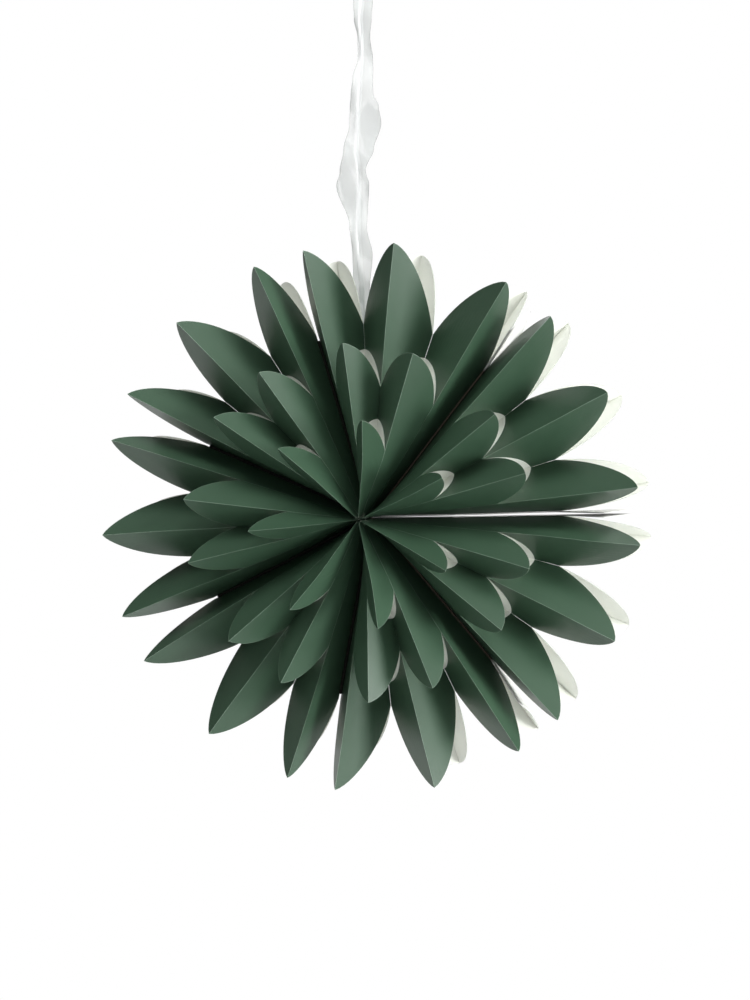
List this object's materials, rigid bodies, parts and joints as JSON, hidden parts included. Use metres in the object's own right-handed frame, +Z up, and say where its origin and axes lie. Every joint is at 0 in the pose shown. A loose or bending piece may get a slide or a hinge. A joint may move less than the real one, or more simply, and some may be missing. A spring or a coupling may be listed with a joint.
{
  "type": "folded paper star ornament",
  "caption": "Round green paper star of glued, pointed petal tubes fanned about one axis, white inside, hung on a sheer white ribbon.",
  "frame": {"origin": "middle of the star, where its tubes meet, half way through its depth", "axes": "-Y out of the front of the star, +Z up along the ribbon, +X to the right seen from the front"},
  "size_m": [0.3014, 0.1076, 0.5057],
  "materials": {
    "green_paper": "matte dark green outside, white inside",
    "white_board": "matte",
    "organza": "sheer, faintly glossy"
  },
  "bodies": {
    "root": {"divider_1": "white_board", "divider_2": "white_board", "divider_3": "white_board", "divider_4": "white_board", "divider_5": "white_board", "divider_6": "white_board", "end_board_lower": "white_board", "end_board_upper": "white_board", "ribbon": "organza", "ribbon_knot": "organza", "ribbon_loop": "organza", "sector_1_back": "green_paper", "sector_1_large_1": "green_paper", "sector_1_large_2": "green_paper", "sector_1_large_3": "green_paper", "sector_1_mid_1": "green_paper", "sector_1_mid_2": "green_paper", "sector_1_small": "green_paper", "sector_2_back": "green_paper", "sector_2_large_1": "green_paper", "sector_2_large_2": "green_paper", "sector_2_large_3": "green_paper", "sector_2_mid_1": "green_paper", "sector_2_mid_2": "green_paper", "sector_2_small": "green_paper", "sector_3_back": "green_paper", "sector_3_large_1": "green_paper", "sector_3_large_2": "green_paper", "sector_3_large_3": "green_paper", "sector_3_mid_1": "green_paper", "sector_3_mid_2": "green_paper", "sector_3_small": "green_paper", "sector_4_back": "green_paper", "sector_4_large_1": "green_paper", "sector_4_large_2": "green_paper", "sector_4_large_3": "green_paper", "sector_4_mid_1": "green_paper", "sector_4_mid_2": "green_paper", "sector_4_small": "green_paper", "sector_5_back": "green_paper", "sector_5_large_1": "green_paper", "sector_5_large_2": "green_paper", "sector_5_large_3": "green_paper", "sector_5_mid_1": "green_paper", "sector_5_mid_2": "green_paper", "sector_5_small": "green_paper", "sector_6_back": "green_paper", "sector_6_large_1": "green_paper", "sector_6_large_2": "green_paper", "sector_6_large_3": "green_paper", "sector_6_mid_1": "green_paper", "sector_6_mid_2": "green_paper", "sector_6_small": "green_paper", "sector_7_back": "green_paper", "sector_7_large_1": "green_paper", "sector_7_large_2": "green_paper", "sector_7_large_3": "green_paper", "sector_7_mid_1": "green_paper", "sector_7_mid_2": "green_paper", "sector_7_small": "green_paper"}
  },
  "joints": []
}
